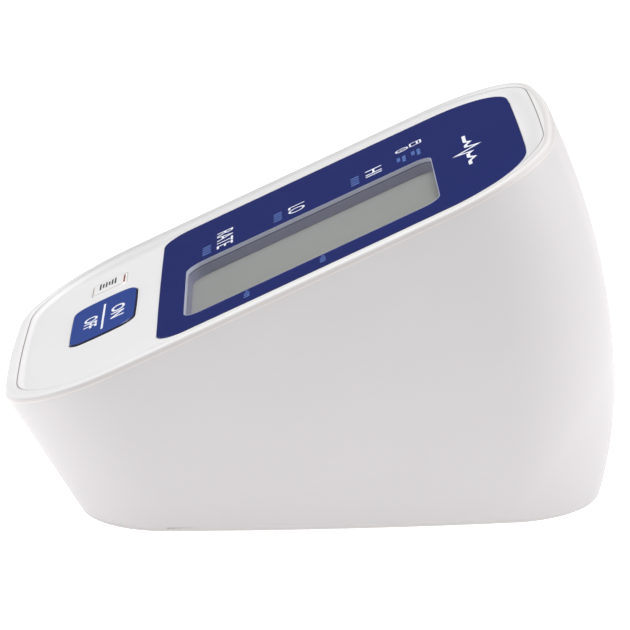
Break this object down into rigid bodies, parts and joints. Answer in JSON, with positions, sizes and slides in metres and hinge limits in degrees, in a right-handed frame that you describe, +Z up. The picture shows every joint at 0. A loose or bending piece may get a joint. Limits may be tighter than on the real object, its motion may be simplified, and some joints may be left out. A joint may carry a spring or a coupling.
{
  "type": "upper-arm blood pressure monitor",
  "caption": "Desktop blood pressure monitor with a wedge-shaped white case, sloping panel, blue display window, barrel-shaped start button, memory button and air jack.",
  "frame": {"origin": "within a millimetre of the centre of the bounding box in plan, on the table under the feet", "axes": "+X to the user's right, +Y from the user towards the rear, +Z up"},
  "size_m": [0.103, 0.1297, 0.0799],
  "materials": {
    "case_white": "satin",
    "rim_white": "satin",
    "fascia_white": "satin",
    "lens_clear": "clear gloss",
    "mask_blue": "gloss print",
    "button_blue": "satin",
    "button_white": "satin",
    "switch_black": "matt",
    "plunger_grey": "matt",
    "lcd_grey": "matt polariser",
    "holder_white": "matt",
    "connector_rubber": "matt",
    "board_green": "solder mask",
    "screw_steel": "zinc plated",
    "component_black": "matt",
    "foot_rubber": "matt",
    "cover_white": "satin",
    "cell_sleeve": "printed sleeve",
    "contact_steel": "nickel plated",
    "motor_steel": "plated",
    "endcap_plastic": "matt",
    "magnet_grey": "matt ferrite",
    "wobble_plastic": "matt",
    "pump_plastic": "matt",
    "diaphragm_rubber": "matt",
    "foam_grey": "open cell",
    "jack_plastic": "satin",
    "tee_plastic": "natural",
    "silicone_tube": "translucent",
    "sensor_plastic": "matt",
    "coil_copper": "enamelled winding",
    "socket_plastic": "matt"
  },
  "bodies": {
    "case": {"lower_case": "case_white", "upper_case": "rim_white", "front_panel": "fascia_white", "display_lens": "lens_clear", "display_mask": "mask_blue", "start_switch": "switch_black", "memory_switch": "switch_black", "lcd_glass": "lcd_grey", "lcd_holder": "holder_white", "lcd_connector": "connector_rubber", "main_board": "board_green", "board_screws": "screw_steel", "board_components": "component_black", "case_screws": "screw_steel", "rubber_feet": "foot_rubber", "battery_cells": "cell_sleeve", "battery_contacts": "contact_steel", "battery_springs": "contact_steel", "motor_can": "motor_steel", "motor_endcap": "endcap_plastic", "motor_magnets": "magnet_grey", "pump_housing": "pump_plastic", "pump_diaphragm": "diaphragm_rubber", "pump_head": "pump_plastic", "pump_foam": "foam_grey", "air_jack": "jack_plastic", "air_tee": "tee_plastic", "air_tubes": "silicone_tube", "pressure_sensor": "sensor_plastic", "valve_frame": "motor_steel", "valve_coil": "coil_copper", "valve_core": "motor_steel", "valve_spring": "contact_steel", "power_socket": "socket_plastic", "power_pin": "contact_steel"},
    "start_button": {"start_stop_button": "button_blue", "start_plunger": "plunger_grey"},
    "memory_button": {"memory_button": "button_white", "memory_plunger": "plunger_grey"},
    "battery_cover": {"battery_cover": "cover_white"},
    "pump_rotor": {"motor_rotor": "motor_steel"},
    "wobble_plate": {"wobble_plate": "wobble_plastic"},
    "valve_plunger": {"valve_plunger": "motor_steel"}
  },
  "joints": [
    {"name": "start_button_press", "type": "slide", "parent": "case", "child": "start_button", "axis": [0, 0.4283, -0.9036], "range_m": [0, 0.0007], "stiffness_N_per_m": 400},
    {"name": "memory_button_press", "type": "slide", "parent": "case", "child": "memory_button", "axis": [0, 0.4283, -0.9036], "range_m": [0, 0.0007], "stiffness_N_per_m": 300},
    {"name": "battery_cover_hinge", "type": "hinge", "parent": "case", "child": "battery_cover", "pos_m": [0, -0.0094, 0.0014], "axis": [-1, 0, 0], "range_deg": [0, 75]},
    {"name": "pump_spin", "type": "hinge", "parent": "case", "child": "pump_rotor", "pos_m": [0, 0.022, 0.033], "axis": [1, 0, 0], "continuous": true},
    {"name": "wobble_turn", "type": "hinge", "parent": "pump_rotor", "child": "wobble_plate", "pos_m": [0.0025, 0.022, 0.033], "axis": [0.9925, 0, 0.1219], "continuous": true},
    {"name": "valve_lift", "type": "slide", "parent": "case", "child": "valve_plunger", "axis": [0, 0, 1], "range_m": [0, 0.0008], "stiffness_N_per_m": 100, "deforming": ["valve_spring"]}
  ],
  "couplings": [
    {"joint": "wobble_turn", "follows": "pump_spin", "ratio": -1}
  ]
}
